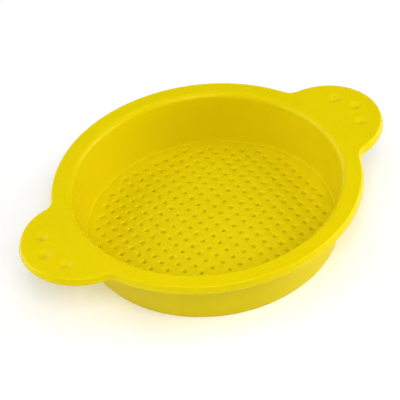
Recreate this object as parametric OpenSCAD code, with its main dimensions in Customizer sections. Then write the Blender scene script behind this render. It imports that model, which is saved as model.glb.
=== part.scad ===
// Sand sieve: a shallow round bowl with a perforated floor, a broad skirted rim and two ear handles
// Millimetres, +Z up. It stands on the lower edge of its wall, and the handles lie along X

/* [Bowl] */
// Height of the rim's flat top above the ground
rim_height = 43; // [34:0.5:56]
// Thickness of the wall, the rim and the handles
wall = 2.2; // [1.6:0.1:2.8]
// Lean of the wall from upright, in degrees
wall_lean = 10.5; // [4:0.5:18]
// Radius of the small fillet between wall and floor
corner_fillet = 1.5; // [0.5:0.1:3]
// Rounding of the wall's lower edge, on which the sieve stands
foot_round = 0.6; // [0.2:0.1:0.7]

/* [Floor] */
// Inside radius of the bowl at its floor
floor_radius = 81.5; // [60:0.5:100]
// Height of the floor's flat margin above the ground
floor_height = 5.5; // [4:0.25:9]
// Thickness of the floor
floor_thick = 2.2; // [1.6:0.1:3]

/* [Holes] */
// Distance between neighbouring holes of the square grid
hole_pitch = 7.85; // [6.5:0.05:12]
// Diameter of each hole
hole_d = 2.8; // [1.5:0.1:4]
// Diameter of the funnel round each hole at the floor's upper face
funnel_d = 4.8; // [4.2:0.1:6.4]
// Depth of the funnel
funnel_depth = 1; // [0.4:0.1:1.4]
// Least distance from the floor's edge to the middle of a hole
hole_margin = 7; // [5.5:0.25:14]

/* [Rim] */
// Width of the rim from the mouth's corner to its outer edge
rim_width = 11.5; // [9.5:0.5:20]
// Rounding from the rim's flat top into the bowl
mouth_round = 6.5; // [3.5:0.25:8]
// Rounding of the outer edge
edge_round = 1.6; // [0.5:0.1:2.4]
// Height of the down-turned skirt, from the rim's top to its lower edge
skirt_drop = 5.2; // [4:0.1:9]

/* [Handles] */
// Radius of the ear's round end
ear_radius = 38.5; // [30:0.5:46]
// Reach of the ear's tip beyond the rim's edge
ear_reach = 30; // [22:0.5:40]
// Radius of the hollow curve between ear and rim
ear_fillet = 9; // [5:0.5:16]
// Diameter of the finger dimples
dimple_d = 10; // [6:0.5:12]
// Depth of the finger dimples
dimple_depth = 1.6; // [0.6:0.1:2]
// Distance from the ear's tip to the middle of the outer dimple
dimple_inset = 13; // [10:0.5:17]
// Radius of the arc on which the dimples lie
dimple_arc = 22; // [18:0.5:25]
// Angle between neighbouring dimples on their arc
dimple_step = 44; // [36:1:60]

/* [Hidden] */
$fn = 96;
arc_steps = 6;
ear_steps = 40;
fillet_steps = 9;
lap = 1.5;
over = 1;

// Leaning inner face of the wall: radius at a height
lean_run = tan(wall_lean);
function inner_r(z) = floor_radius + (z - floor_height) * lean_run;
wall_across = wall / cos(wall_lean);
foot_r = min(foot_round, wall / 3);
function outer_r(z) = inner_r(z) + wall_across;

// Rim: the rounding's centre, and the cut square to the wall where rim and wall meet
mouth_r = inner_r(rim_height);
mouth_turn = 90 - wall_lean;
mouth_cx = mouth_r + mouth_round * tan(mouth_turn / 2);
mouth_cz = rim_height - mouth_round;
rim_radius = mouth_r + rim_width;
under_round = mouth_round - wall;
cut_dir = [-cos(wall_lean), sin(wall_lean)];
cut_in = [mouth_cx, mouth_cz] + mouth_round * cut_dir;
cut_out = [mouth_cx, mouth_cz] + under_round * cut_dir;

// Edge band: plate edge and skirt, given as distance in from the outline and height
band = wall + 2 * lap;
band_r = rim_radius - band;
bead = wall / 2;
skirt_z = rim_height - skirt_drop + bead;
function edge_section(depth) = concat(
    [[depth, rim_height]],
    [for (i = [0:arc_steps]) [edge_round - edge_round * sin(90 * i / arc_steps),
                              rim_height - edge_round + edge_round * cos(90 * i / arc_steps)]],
    [for (i = [0:arc_steps]) [bead - bead * cos(180 * i / arc_steps),
                              skirt_z - bead * sin(180 * i / arc_steps)]],
    [[wall, rim_height - wall], [depth, rim_height - wall]]);

// Plan of the ears: ear circle, rim circle and a hollow curve that touches both
ear_x = rim_radius + ear_reach - ear_radius;
near = rim_radius + ear_fillet;
far = ear_radius + ear_fillet;
fillet_x = (near * near - far * far + ear_x * ear_x) / (2 * ear_x);
fillet_y = sqrt(near * near - fillet_x * fillet_x);
rim_turn = atan2(fillet_y, fillet_x);
ear_turn = atan2(fillet_y, fillet_x - ear_x);

// Dimples: a sphere that meets the top at the dimple's diameter
dimple_ball = (dimple_d * dimple_d / 4 + dimple_depth * dimple_depth) / (2 * dimple_depth);
dimple_mid = rim_radius + ear_reach - dimple_inset - dimple_arc;

// Grid of holes: none nearer to the floor's edge than its margin
hole_reach = floor_radius - max(hole_margin, corner_fillet + funnel_d / 2 + over);
hole_count = floor(hole_reach / hole_pitch);

// Profile of the leaning wall, from the ground to the cut below the rim, with the fillet on the floor
module wall_profile() {
    polygon(concat(
        corner_arc(outer_r(0) - foot_r / tan(45 + wall_lean / 2), foot_r, foot_r, -90, -wall_lean),
        [cut_out, cut_in],
        corner_arc(floor_radius - corner_fillet / tan(45 + wall_lean / 2), floor_height + corner_fillet,
            corner_fillet, -wall_lean, -90),
        [[floor_radius, floor_height]],
        corner_arc(inner_r(0) + foot_r / tan(45 - wall_lean / 2), foot_r, foot_r, 180 - wall_lean, 270)));
}

function corner_arc(x, z, r, from, to) =
    [for (i = [0:arc_steps]) let (t = from + (to - from) * i / arc_steps) [x + r * cos(t), z + r * sin(t)]];

// Profile from the cut over the mouth's rounding to the plate's end at radius band_r
function mouth_points() = concat(
    [for (i = [0:arc_steps]) let (t = 180 - wall_lean - mouth_turn * i / arc_steps)
        [mouth_cx + mouth_round * cos(t), mouth_cz + mouth_round * sin(t)]]);
function under_points() =
    [for (i = [arc_steps:-1:0]) let (t = 180 - wall_lean - mouth_turn * i / arc_steps)
        [mouth_cx + under_round * cos(t), mouth_cz + under_round * sin(t)]];

module short_profile() {
    polygon(concat(mouth_points(), [[band_r, rim_height], [band_r, rim_height - wall]], under_points()));
}

module edge_profile() {
    polygon([for (p = edge_section(band + lap)) [rim_radius - p[0], p[1]]]);
}

// Bowl's wall with the lower edge on which the sieve stands
module bowl_wall() {
    color([0.9, 0.78, 0.02]) rotate_extrude() wall_profile();
}

// Rim: a full ring, with the skirted edge along the two long arcs between the ears
module rim() {
    color([0.9, 0.78, 0.02]) {
        rotate_extrude() short_profile();
        for (k = [0, 180]) rotate(rim_turn + k) rotate_extrude(angle = 180 - 2 * rim_turn) edge_profile();
    }
}

// Floor with a grid of funnelled holes
module sieve_floor() {
    color([0.9, 0.78, 0.02]) difference() {
        rotate_extrude() polygon([[0, floor_height], [floor_radius, floor_height],
            [inner_r(floor_height - floor_thick), floor_height - floor_thick],
            [0, floor_height - floor_thick]]);
        for (i = [-hole_count:hole_count], j = [-hole_count:hole_count])
            if (norm([i, j]) * hole_pitch <= hole_reach)
                translate([i * hole_pitch, j * hole_pitch, floor_height]) hole();
    }
}

// One hole: a straight bore with a funnel at the upper face
module hole() {
    slope = (funnel_d - hole_d) / 2 / funnel_depth;
    rotate_extrude() polygon([[0, -floor_thick - over], [hole_d / 2, -floor_thick - over],
        [hole_d / 2, -funnel_depth], [funnel_d / 2 + over * slope, over], [0, over]]);
}

// Ear handle on the +X side: edge band round the ear and its hollow curves, flat plate, finger dimples
module ear() {
    difference() {
        union() {
            edge_band();
            translate([0, 0, rim_height - wall]) linear_extrude(wall) plate_plan();
            for (t = [-1:1]) dimple_at(t) intersection() {
                sphere(dimple_ball + wall);
                translate([-2 * dimple_d, -2 * dimple_d, -dimple_ball - wall - over])
                    cube([4 * dimple_d, 4 * dimple_d, dimple_depth + wall / 2 + over]);
            }
        }
        for (t = [-1:1]) dimple_at(t) sphere(dimple_ball);
    }
}

// Stations along the ear's outline: a point of the outline and the direction into the handle
function station(x, y, r, t, s) = [[x + r * cos(t), y + r * sin(t)], [s * cos(t), s * sin(t)]];
stations = concat(
    [for (i = [0:fillet_steps])
        station(fillet_x, -fillet_y, ear_fillet,
            180 - rim_turn - (ear_turn - rim_turn) * i / fillet_steps, 1)],
    [for (i = [1:ear_steps - 1])
        station(ear_x, 0, ear_radius, -ear_turn + 2 * ear_turn * i / ear_steps, -1)],
    [for (i = [0:fillet_steps])
        station(fillet_x, fillet_y, ear_fillet,
            180 + ear_turn - (ear_turn - rim_turn) * i / fillet_steps, 1)]);
function inset(depth) = [for (q = stations) q[0] + depth * q[1]];

// The edge's section swept along the stations
module edge_band() {
    section = edge_section(band);
    n = len(section);
    m = len(stations);
    polyhedron(
        [for (q = stations, p = section) [q[0][0] + p[0] * q[1][0], q[0][1] + p[0] * q[1][1], p[1]]],
        concat(
            [[for (k = [0:n - 1]) k]],
            [for (i = [0:m - 2], k = [0:n - 1])
                [i * n + k, (i + 1) * n + k, (i + 1) * n + (k + 1) % n, i * n + (k + 1) % n]],
            [[for (k = [n - 1:-1:0]) (m - 1) * n + k]]));
}

module dimple_at(t) {
    translate([dimple_mid + dimple_arc * cos(t * dimple_step), dimple_arc * sin(t * dimple_step),
               rim_height + dimple_ball - dimple_depth])
        children();
}

// Flat of the ear, from the rim's ring to a little way under the edge band
module plate_plan() {
    root = band_r - 2 * lap;
    difference() {
        polygon(concat(inset(wall + lap),
            [root * [cos(rim_turn), sin(rim_turn)], root * [cos(rim_turn), -sin(rim_turn)]]));
        circle(band_r);
    }
}

module right_handle() {
    color([0.9, 0.78, 0.02]) ear();
}

module left_handle() {
    color([0.9, 0.78, 0.02]) mirror([1, 0, 0]) ear();
}

bowl_wall();
rim();
sieve_floor();
left_handle();
right_handle();
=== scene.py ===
import math

import bmesh
import bpy
from mathutils import Matrix, Vector


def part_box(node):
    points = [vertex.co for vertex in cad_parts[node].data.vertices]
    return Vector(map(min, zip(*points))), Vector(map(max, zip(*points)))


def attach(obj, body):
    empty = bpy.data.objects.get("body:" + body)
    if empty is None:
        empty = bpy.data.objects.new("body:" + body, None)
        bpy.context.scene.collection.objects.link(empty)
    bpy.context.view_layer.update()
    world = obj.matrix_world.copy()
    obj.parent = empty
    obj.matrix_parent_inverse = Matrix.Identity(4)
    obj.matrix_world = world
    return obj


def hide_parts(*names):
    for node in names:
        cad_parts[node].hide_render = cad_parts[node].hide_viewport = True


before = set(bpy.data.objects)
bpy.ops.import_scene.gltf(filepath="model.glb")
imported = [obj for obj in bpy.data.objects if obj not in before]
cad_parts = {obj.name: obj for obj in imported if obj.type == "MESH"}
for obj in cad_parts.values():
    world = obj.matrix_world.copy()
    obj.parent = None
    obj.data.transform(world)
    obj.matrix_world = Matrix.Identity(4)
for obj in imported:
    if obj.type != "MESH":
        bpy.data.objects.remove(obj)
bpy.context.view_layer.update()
mm = 0.001
weld = 0.001  # points nearer than this many millimetres are one point
sharp = math.radians(60)  # edges that turn more than this aren't smoothed

# Sizes taken from the frame, in millimetres
spare = 0.01  # keeps the pieces just inside the frame's box
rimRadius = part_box("rim")[1][1] / mm - spare
earTip, tipTop = (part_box("right_handle")[1][axis] / mm - spare for axis in (0, 2))
print("frame: rim", round(rimRadius, 2), "ear tip", round(earTip, 2), "height", round(tipTop, 2))

yellow = {
    "deep": (0.66, 0.53, 0.0009, 1.0),  # linear colour of the moulded plastic
    "light": (0.70, 0.57, 0.0010, 1.0),
    "clouds": 18.0,  # noise scales, per metre
    "fine": 900.0,
    "streaks": ((26.0, 640.0, 300.0), (520.0, 34.0, 300.0)),  # thin across, long along X or Y
    "streakFrom": 0.66,  # only the peaks of the streaks' noise leave a mark
    "streakFull": 0.76,
    "roughness": 0.28,  # at the rim
    "roughnessInside": 0.5,  # the bowl is duller
    "dullBelow": 0.02,  # heights between which the finish changes
    "shinyAbove": 0.036,
    "cloudRoughness": 0.06,
    "fineRoughness": 0.06,
    "rubbedRoughness": 0.03,
    "grain": 0.0003,  # height of the moulded grain
    "grainStrength": 0.12,
    "scratch": 0.00006,  # depth of the rubbed marks
    "scratchStrength": 0.06,
    "ior": 1.49,
    "reflection": 0.28,  # 0.5 is the plain amount
    "shine": (1.0, 0.9, 0.12, 1.0),  # tint of the reflections
    "glow": 0.5,  # light scattered below the surface
    "glowColour": (1.0, 0.88, 0.05),
    "glowDepth": 0.0025,
}


# A node's output, which can be added, subtracted and multiplied
class Value:
    def __init__(self, tree, socket):
        self.tree = tree
        self.socket = socket

    def node(self, kind, settings=None, sockets=None, out=0):
        made = self.tree.nodes.new(kind)
        for name, setting in (settings or {}).items():
            setattr(made, name, setting)
        for name, given in (sockets or {}).items():
            if isinstance(given, Value):
                self.tree.links.new(given.socket, made.inputs[name])
            else:
                made.inputs[name].default_value = given
        return Value(self.tree, made.outputs[out])

    def maths(self, operation, first, second):
        return self.node("ShaderNodeMath", {"operation": operation}, {0: first, 1: second})

    def __add__(self, other):
        return self.maths("ADD", self, other)

    def __sub__(self, other):
        return self.maths("SUBTRACT", self, other)

    def __mul__(self, other):
        return self.maths("MULTIPLY", self, other)


def newMaterial(name):
    made = bpy.data.materials.new(name)
    made.use_nodes = True
    tree = made.node_tree
    tree.nodes.clear()
    output = tree.nodes.new("ShaderNodeOutputMaterial")
    return made, tree, output


def makeYellowPlastic():
    made, tree, output = newMaterial("yellowPlastic")
    start = Value(tree, None)
    place = start.node("ShaderNodeTexCoord", out="Object")
    cloud = start.node("ShaderNodeTexNoise", {}, {"Vector": place, "Scale": yellow["clouds"], "Detail": 3.0})
    fine = start.node("ShaderNodeTexNoise", {}, {"Vector": place, "Scale": yellow["fine"], "Detail": 2.0})

    # rubbed marks: long thin streaks, only where the noise peaks
    def streaks(stretch):
        along = start.node("ShaderNodeVectorMath", {"operation": "MULTIPLY"}, {0: place, 1: stretch})
        thin = start.node("ShaderNodeTexNoise", {}, {"Vector": along, "Scale": 1.0, "Detail": 1.0})
        return start.node("ShaderNodeMapRange", {},
                          {0: thin, 1: yellow["streakFrom"], 2: yellow["streakFull"]})

    lengthwise, crosswise = (streaks(stretch) for stretch in yellow["streaks"])
    rubbed = lengthwise + crosswise
    tint = start.node("ShaderNodeMix", {"data_type": "RGBA"},
                      {0: cloud, 6: yellow["deep"], 7: yellow["light"]}, out=2)
    height = start.node("ShaderNodeSeparateXYZ", {}, {0: place}, out="Z")
    finish = start.node("ShaderNodeMapRange", {}, {
        0: height, 1: yellow["dullBelow"], 2: yellow["shinyAbove"],
        3: yellow["roughnessInside"], 4: yellow["roughness"]})
    rough = finish + (cloud - 0.5) * yellow["cloudRoughness"] + (fine - 0.5) * yellow["fineRoughness"]
    rough = rough + rubbed * yellow["rubbedRoughness"]
    grain = start.node("ShaderNodeBump", {}, {
        "Height": fine, "Strength": yellow["grainStrength"], "Distance": yellow["grain"]})
    worn = start.node("ShaderNodeBump", {"invert": True}, {
        "Height": rubbed, "Strength": yellow["scratchStrength"], "Distance": yellow["scratch"],
        "Normal": grain})
    surface = start.node("ShaderNodeBsdfPrincipled", {}, {
        "Base Color": tint, "Roughness": rough, "Normal": worn, "IOR": yellow["ior"],
        "Specular IOR Level": yellow["reflection"], "Specular Tint": yellow["shine"],
        "Subsurface Weight": yellow["glow"], "Subsurface Radius": yellow["glowColour"],
        "Subsurface Scale": yellow["glowDepth"]})
    tree.links.new(surface.socket, output.inputs["Surface"])
    return made


yellowPlastic = makeYellowPlastic()
print("material ready")

# Outline of rim and ears
outline = {
    "earRadius": 38.65,
    "earFillet": 9.0,  # hollow curve between ear and rim
    "earSteps": 112,
    "filletSteps": 14,
    "rimSteps": 96,
}


def outlineStations():
    earRadius, fillet = outline["earRadius"], outline["earFillet"]
    earX = earTip - earRadius
    near, far = rimRadius + fillet, earRadius + fillet
    x = (near * near - far * far + earX * earX) / (2 * earX)
    y = math.sqrt(near * near - x * x)
    rimTurn, earTurn = math.atan2(y, x), math.atan2(y, x - earX)
    made = []

    def arc(centre, radius, start, end, steps, sign, zone):
        for step in range(steps):
            turn = start + (end - start) * step / steps
            aim = Vector((math.cos(turn), math.sin(turn)))
            made.append((half @ (Vector(centre) + radius * aim), half @ (sign * aim), zone))

    for half in (Matrix.Rotation(0.0, 2), Matrix.Rotation(math.pi, 2)):
        arc((x, -y), fillet, math.pi - rimTurn, math.pi - earTurn, outline["filletSteps"], 1, "ear")
        arc((earX, 0), earRadius, -earTurn, earTurn, outline["earSteps"], -1, "ear")
        arc((x, y), fillet, math.pi + earTurn, math.pi + rimTurn, outline["filletSteps"], 1, "ear")
        arc((0, 0), rimRadius, rimTurn, math.pi - rimTurn, outline["rimSteps"], -1, "rim")
    return made


stations = outlineStations()
print("outline of", len(stations), "stations")

# Section of the moulding, walked from the skirt's foot over the rim into the bowl and back underneath
shell = {
    "wall": 2.2,
    "lean": 7.6,  # degrees from upright
    "mouthRound": 4.2,
    "edgeRound": 0.8,
    "draft": 1.1,  # the skirt spreads this much towards its foot
    "cornerFillet": 1.0,
    "wallFrom": 1.3,  # the rings of the inner wall end this far above the floor
    "footRound": 0.9,
    "skirt": 5.4,  # from the rim's top to the skirt's foot
    "flatInset": 0.4,  # the flats of the rim start this far in from the edge
    "floorRadius": 81.3,
    "floorTop": 4.7,  # height of the floor's flat margin
    "floorThick": 3.0,
    "join": 0.8,  # the floor piece starts this far in from the corner's fillet
    "flatSteps": 32,
    "underSteps": 18,
    "roundSteps": 8,
    "wallSteps": 4,
}
lift = {"from": 96.0, "top": 1.8, "foot": 2.4}  # the ears turn up a little towards their tips
rimTop = tipTop - lift["top"]
skirtFoot = rimTop - shell["skirt"]
floorRadius, floorTop = shell["floorRadius"], shell["floorTop"]
floorUnder = floorTop - shell["floorThick"]
lean = math.radians(shell["lean"])
cornerEnd = floorRadius - shell["cornerFillet"] / math.tan(math.pi / 4 + lean / 2)
floorBorder = cornerEnd - shell["join"]


def shellSections():
    wall = shell["wall"]
    across = wall / math.cos(lean)
    corner = shell["cornerFillet"]
    sections = []

    def inner(z):
        return floorRadius + (z - floorTop) * math.tan(lean)

    def atEdge(inset, z):
        sections.append(("edge", inset, z))

    def atRing(radius, z):
        sections.append(("ring", radius, z))

    def turnEdge(inset, z, radius, start, end):
        for step in range(shell["roundSteps"] + 1):
            turn = math.radians(start + (end - start) * step / shell["roundSteps"])
            atEdge(inset - radius * math.cos(turn), z + radius * math.sin(turn))

    def turnRing(radius, z, size, start, end):
        for step in range(shell["roundSteps"] + 1):
            turn = math.radians(start + (end - start) * step / shell["roundSteps"])
            atRing(radius + size * math.cos(turn), z + size * math.sin(turn))

    def wallRings(start, end, offset):
        for step in range(1, shell["wallSteps"]):
            z = start + (end - start) * step / shell["wallSteps"]
            atRing(inner(z) + offset, z)

    bead = wall / 2
    flatInset = shell["flatInset"]
    flatEnd = inner(rimTop) + shell["mouthRound"] * math.tan((math.pi / 2 - lean) / 2)
    roundZ = rimTop - shell["mouthRound"]
    edge, draft = shell["edgeRound"], shell["draft"]
    leanTurn = shell["lean"]
    slope = math.atan(draft / (rimTop - skirtFoot - bead - edge))
    edgeFrom = rimTop - edge + edge * math.sin(slope)
    edgeMid = edge * math.cos(slope) + (edgeFrom - skirtFoot - bead) * math.tan(slope)
    # skirt's foot and outer side, then the rounded edge
    turnEdge(bead, skirtFoot + bead, bead, -180, math.degrees(slope))
    turnEdge(edgeMid, rimTop - edge, edge, math.degrees(slope), 90)
    for step in range(1, shell["flatSteps"]):
        sections.append(("flat", step / shell["flatSteps"], rimTop, edgeMid + flatInset, flatEnd))
    # mouth, wall, corner and the floor's margin
    turnRing(flatEnd, roundZ, shell["mouthRound"], 90, 180 - leanTurn)
    wallRings(roundZ, floorTop + shell["wallFrom"], 0.0)
    turnRing(cornerEnd, floorTop + corner, corner, -leanTurn, -90)
    atRing(floorBorder, floorTop)
    atRing(floorBorder, floorUnder)
    atRing(inner(floorUnder), floorUnder)
    # foot and outer wall
    foot = shell["footRound"]
    atRing(inner(foot), foot)
    turnRing(inner(0) + foot / math.tan(math.pi / 4 - lean / 2), foot, foot, 180 - leanTurn, 270)
    turnRing(inner(0) + across - foot / math.tan(math.pi / 4 + lean / 2), foot, foot, -90, -leanTurn)
    wallRings(foot, roundZ, across)
    # underside of the rim, back to the skirt's inner side
    turnRing(flatEnd, roundZ, shell["mouthRound"] - wall, 180 - leanTurn, 90)
    skirtInside, under = wall + draft, rimTop - wall
    for step in range(1, shell["underSteps"]):
        sections.append(("flat", 1 - step / shell["underSteps"], under, skirtInside + flatInset, flatEnd))
    atEdge(skirtInside + flatInset, under)
    atEdge(skirtInside, under - flatInset)
    return sections


# Three finger dimples on each ear
dimples = {"across": 9.4, "deep": 2.0, "inset": 13.3, "arc": 22.0, "step": 44.0}


def dimpleDrop(point):
    radius = dimples["across"] / 2
    for turn in (-dimples["step"], 0.0, dimples["step"]):
        x = earTip - dimples["inset"] - dimples["arc"] * (1 - math.cos(math.radians(turn)))
        y = dimples["arc"] * math.sin(math.radians(turn))
        reach = math.hypot(abs(point.x) - x, point.y - y)
        if reach < radius:
            return dimples["deep"] * (1 + math.cos(math.pi * reach / radius)) / 2
    return 0.0


def earLift(place, z):
    ramp = max(0.0, (place.length - lift["from"]) / (earTip - lift["from"]))
    share = min(1.0, max(0.0, (z - skirtFoot) / (rimTop - shell["wall"] - skirtFoot)))
    return ramp * (lift["top"] * share + lift["foot"] * (1 - share))


def sectionPoint(section, station):
    point, inward, zone = station
    kind = section[0]
    if kind == "edge":
        place = point + section[1] * inward
        z = section[2]
    elif kind == "ring":
        place = point.normalized() * section[1]
        z = section[2]
    else:
        share, z, inset, ring = section[1:]
        place = (point + inset * inward).lerp(point.normalized() * ring, share)
        if zone == "ear":
            z -= dimpleDrop(place)
    return Vector((place.x, place.y, z + earLift(place, z))) * mm


def vertsOf(geom):
    return [item for item in geom if isinstance(item, bmesh.types.BMVert)]


def extrudeRing(bm, ring):
    edges = [bm.edges.get((ring[index - 1], ring[index])) for index in range(len(ring))]
    made = bmesh.ops.extrude_edge_only(bm, edges=edges)["geom"]
    fresh = set(vertsOf(made))
    partners = []
    for vert in ring:
        others = [edge.other_vert(vert) for edge in vert.link_edges]
        partners.append(next(other for other in others if other in fresh))
    return partners


def buildShell():
    bm = bmesh.new()
    ring = bmesh.ops.create_circle(bm, segments=len(stations), radius=rimRadius * mm)["verts"]
    sections = shellSections()
    for vert, station in zip(ring, stations):
        vert.co = sectionPoint(sections[0], station)
    for section in sections[1:] + sections[:1]:
        ring = extrudeRing(bm, ring)
        for vert, station in zip(ring, stations):
            vert.co = sectionPoint(section, station)
    bmesh.ops.remove_doubles(bm, verts=bm.verts, dist=weld * mm)
    bmesh.ops.recalc_face_normals(bm, faces=bm.faces)
    print("shell", len(bm.verts), "vertices", len(bm.faces), "faces")
    return bm


def meshObject(name, bm, body, *nodes):
    for face in bm.faces:
        face.smooth = True
    for edge in bm.edges:
        edge.smooth = edge.calc_face_angle(0.0) < sharp
    mesh = bpy.data.meshes.new(name)
    bm.to_mesh(mesh)
    bm.free()
    made = bpy.data.objects.new(name, mesh)
    bpy.context.collection.objects.link(made)
    mesh.materials.append(yellowPlastic)
    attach(made, body)
    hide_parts(*nodes)


meshObject("mouldedShell", buildShell(), "root", "bowl_wall", "rim", "left_handle", "right_handle")

# Perforated floor: one cell with its funnelled hole, repeated over the grid
sieve = {
    "pitch": 7.85,
    "hole": 1.8,  # diameter at the underside
    "funnel": 4.6,  # diameter at the upper face
    "margin": 6.6,  # least distance from the floor's edge to the middle of a hole
    "funnelRings": ((0.72, 0.07), (0.5, 0.28)),  # shares of the funnel's radius and of the floor's thickness
    "plain": 1.2,  # width of the floor's edge beyond its cells
    "sides": 12,
}
dome = {"rise": 3.6, "radius": 77.5}  # the floor rises towards its middle


def domeHeight(radius):
    return dome["rise"] * max(0.0, 1 - (radius / dome["radius"]) ** 2)


def holeCell(bm):
    half, hole, lip = sieve["pitch"] / 2, sieve["hole"] / 2, sieve["funnel"] / 2
    thick = shell["floorThick"]
    # radius and height of each ring, where None is the cell's square border
    rings = [(None, 0.0), (lip, 0.0)]
    rings += [(reach * lip, -depth * thick) for reach, depth in sieve["funnelRings"]]
    rings += [(hole, -thick), (None, -thick)]
    ring = bmesh.ops.create_circle(bm, segments=sieve["sides"], radius=half)["verts"]
    bmesh.ops.rotate(bm, verts=ring, cent=(0, 0, 0), matrix=Matrix.Rotation(math.pi / 4, 3, "Z"))
    aims = [vert.co.to_2d().normalized() for vert in ring]
    for index, (radius, z) in enumerate(rings):
        if index:
            ring = extrudeRing(bm, ring)
        for vert, aim in zip(ring, aims):
            reach = half / max(abs(aim.x), abs(aim.y)) if radius is None else radius
            vert.co = Vector((aim.x * reach, aim.y * reach, z))


def buildFloor():
    bm = bmesh.new()
    holeCell(bm)
    cell = list(bm.verts) + list(bm.edges) + list(bm.faces)
    pitch = sieve["pitch"]
    reach = floorRadius - sieve["margin"]
    count = int(reach / pitch)
    for column in range(-count, count + 1):
        for row in range(-count, count + 1):
            if (column, row) == (0, 0) or math.hypot(column, row) * pitch > reach:
                continue
            copy = bmesh.ops.duplicate(bm, geom=cell)["geom"]
            bmesh.ops.translate(bm, verts=vertsOf(copy), vec=(column * pitch, row * pitch, 0.0))
    bmesh.ops.remove_doubles(bm, verts=bm.verts, dist=weld)
    # cells at the edge are drawn in, so that a plain margin is left round them
    inside = floorBorder - sieve["plain"]
    for vert in bm.verts:
        reach = vert.co.to_2d().length
        if reach > inside:
            vert.co.x *= inside / reach
            vert.co.y *= inside / reach
    for z in (0.0, -shell["floorThick"]):
        jagged = [edge for edge in bm.edges
                  if len(edge.link_faces) == 1 and abs(edge.verts[0].co.z - z) < weld]
        for reach in (floorBorder - sieve["plain"] / 2, floorBorder):
            made = bmesh.ops.extrude_edge_only(bm, edges=jagged)["geom"]
            for vert in vertsOf(made):
                flat = vert.co.to_2d().normalized() * reach
                vert.co = Vector((flat.x, flat.y, z))
            jagged = [item for item in made
                      if isinstance(item, bmesh.types.BMEdge) and len(item.link_faces) == 1]
    bmesh.ops.bridge_loops(bm, edges=[edge for edge in bm.edges if len(edge.link_faces) == 1])
    for vert in bm.verts:
        vert.co.z += floorTop + domeHeight(vert.co.to_2d().length)
    bmesh.ops.scale(bm, verts=bm.verts, vec=(mm, mm, mm))
    bmesh.ops.recalc_face_normals(bm, faces=bm.faces)
    print("floor", len(bm.verts), "vertices", len(bm.faces), "faces")
    return bm


meshObject("sieveFloor", buildFloor(), "root", "sieve_floor")

# Camera at the photograph's angle
view = {
    "azimuth": -27.356,  # degrees, 0 looks along +Y
    "elevation": 41.141,
    "roll": -7.063,
    "place": (-371.63, -706.60, 721.05),
    "focal": 1653.46,  # in pixels of a 400 pixel frame
    "frame": 400.0,
    "sensor": 36.0,
    "clip": (0.01, 50.0),
}


def makeCamera():
    azimuth, elevation, roll = (math.radians(view[key]) for key in ("azimuth", "elevation", "roll"))
    back = Vector((math.sin(azimuth) * math.cos(elevation), -math.cos(azimuth) * math.cos(elevation),
                   math.sin(elevation)))
    right = Vector((math.cos(azimuth), math.sin(azimuth), 0.0))
    up = back.cross(right)
    right, up = (math.cos(roll) * right + math.sin(roll) * up, math.cos(roll) * up - math.sin(roll) * right)
    data = bpy.data.cameras.new("camera")
    data.sensor_width = view["sensor"]
    data.lens = view["focal"] / view["frame"] * data.sensor_width
    data.clip_start, data.clip_end = view["clip"]
    camera = bpy.data.objects.new("camera", data)
    turn = Matrix((right, up, back)).transposed().to_4x4()
    camera.matrix_world = Matrix.Translation(Vector(view["place"]) * mm) @ turn
    bpy.context.collection.objects.link(camera)
    bpy.context.scene.camera = camera


makeCamera()
bpy.context.scene.view_settings.view_transform = "Standard"
print("camera ready")

# Ground and light
studio = {
    "ground": (0.95, 0.95, 0.95, 1.0),
    "white": (1.0, 1.0, 1.0, 1.0),
    "groundSize": 6.0,
    "groundGlow": 0.95,  # share of plain white the camera sees in the ground
    "shadeFrom": 0.08,  # the ground keeps its full shade inside this distance
    "shadeTo": 0.2,
    "world": 0.03,  # strength of the white surroundings
    "reach": 1.2,  # distance of the lamps from the object
    # turn from the camera's side, height in degrees, power in watts, diameter
    "lamps": {"right": (90, 24, 12.0, 1.1), "front": (5, 50, 9.0, 0.7), "left": (270, 24, 8.2, 1.1),
              "back": (225, 24, 3.6, 1.0), "high": (135, 70, 0.8, 0.7), "top": (0, 88, 1.8, 0.7)},
}


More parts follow.
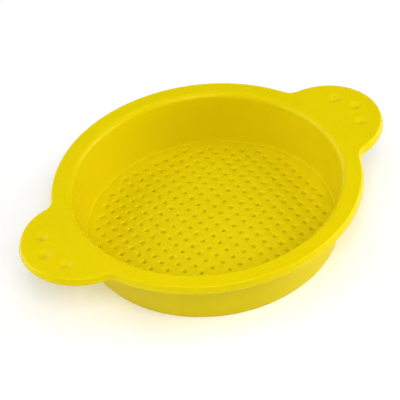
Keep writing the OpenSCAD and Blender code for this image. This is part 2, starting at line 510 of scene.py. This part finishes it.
def makeGround():
    bm = bmesh.new()
    bmesh.ops.create_grid(bm, x_segments=1, y_segments=1, size=studio["groundSize"])
    mesh = bpy.data.meshes.new("ground")
    bm.to_mesh(mesh)
    bm.free()
    ground = bpy.data.objects.new("ground", mesh)
    bpy.context.collection.objects.link(ground)
    made, tree, output = newMaterial("groundPaper")
    start = Value(tree, None)
    paper = start.node("ShaderNodeBsdfDiffuse", {}, {"Color": studio["ground"]})
    glow = start.node("ShaderNodeEmission", {}, {"Color": studio["white"], "Strength": 1.0})
    # plain white away from the object, to the camera and in reflections
    seen = start.node("ShaderNodeLightPath", out="Is Camera Ray")
    for ray in ("Is Glossy Ray", "Is Transmission Ray"):
        seen = seen + start.node("ShaderNodeLightPath", out=ray)
    place = start.node("ShaderNodeTexCoord", out="Object")
    away = start.node("ShaderNodeVectorMath", {"operation": "LENGTH"}, {0: place}, out="Value")
    clear = start.node("ShaderNodeMapRange", {"interpolation_type": "SMOOTHSTEP"},
                       {0: away, 1: studio["shadeFrom"], 2: studio["shadeTo"]})
    mixed = start.node("ShaderNodeMixShader", {},
                       {0: seen * clear * studio["groundGlow"], 1: paper, 2: glow})
    tree.links.new(mixed.socket, output.inputs["Surface"])
    mesh.materials.append(made)


def makeLamp(name, turn, height, power, across):
    data = bpy.data.lights.new(name, "AREA")
    data.shape = "DISK"
    data.size = across
    data.energy = power
    angle = math.radians(turn - 90 + view["azimuth"])
    tilt = math.radians(height)
    aim = Vector((math.cos(angle) * math.cos(tilt), math.sin(angle) * math.cos(tilt), math.sin(tilt)))
    lamp = bpy.data.objects.new(name, data)
    lamp.location = aim * studio["reach"]
    lamp.rotation_euler = (-aim).to_track_quat("-Z", "Y").to_euler()
    bpy.context.collection.objects.link(lamp)


def makeWorld():
    world = bpy.data.worlds.new("studio")
    world.use_nodes = True
    bpy.context.scene.world = world
    back = world.node_tree.nodes["Background"]
    back.inputs["Color"].default_value = studio["white"]
    back.inputs["Strength"].default_value = studio["world"]


makeGround()
makeWorld()
for name, values in studio["lamps"].items():
    makeLamp(name + "Lamp", *values)
print("studio ready")
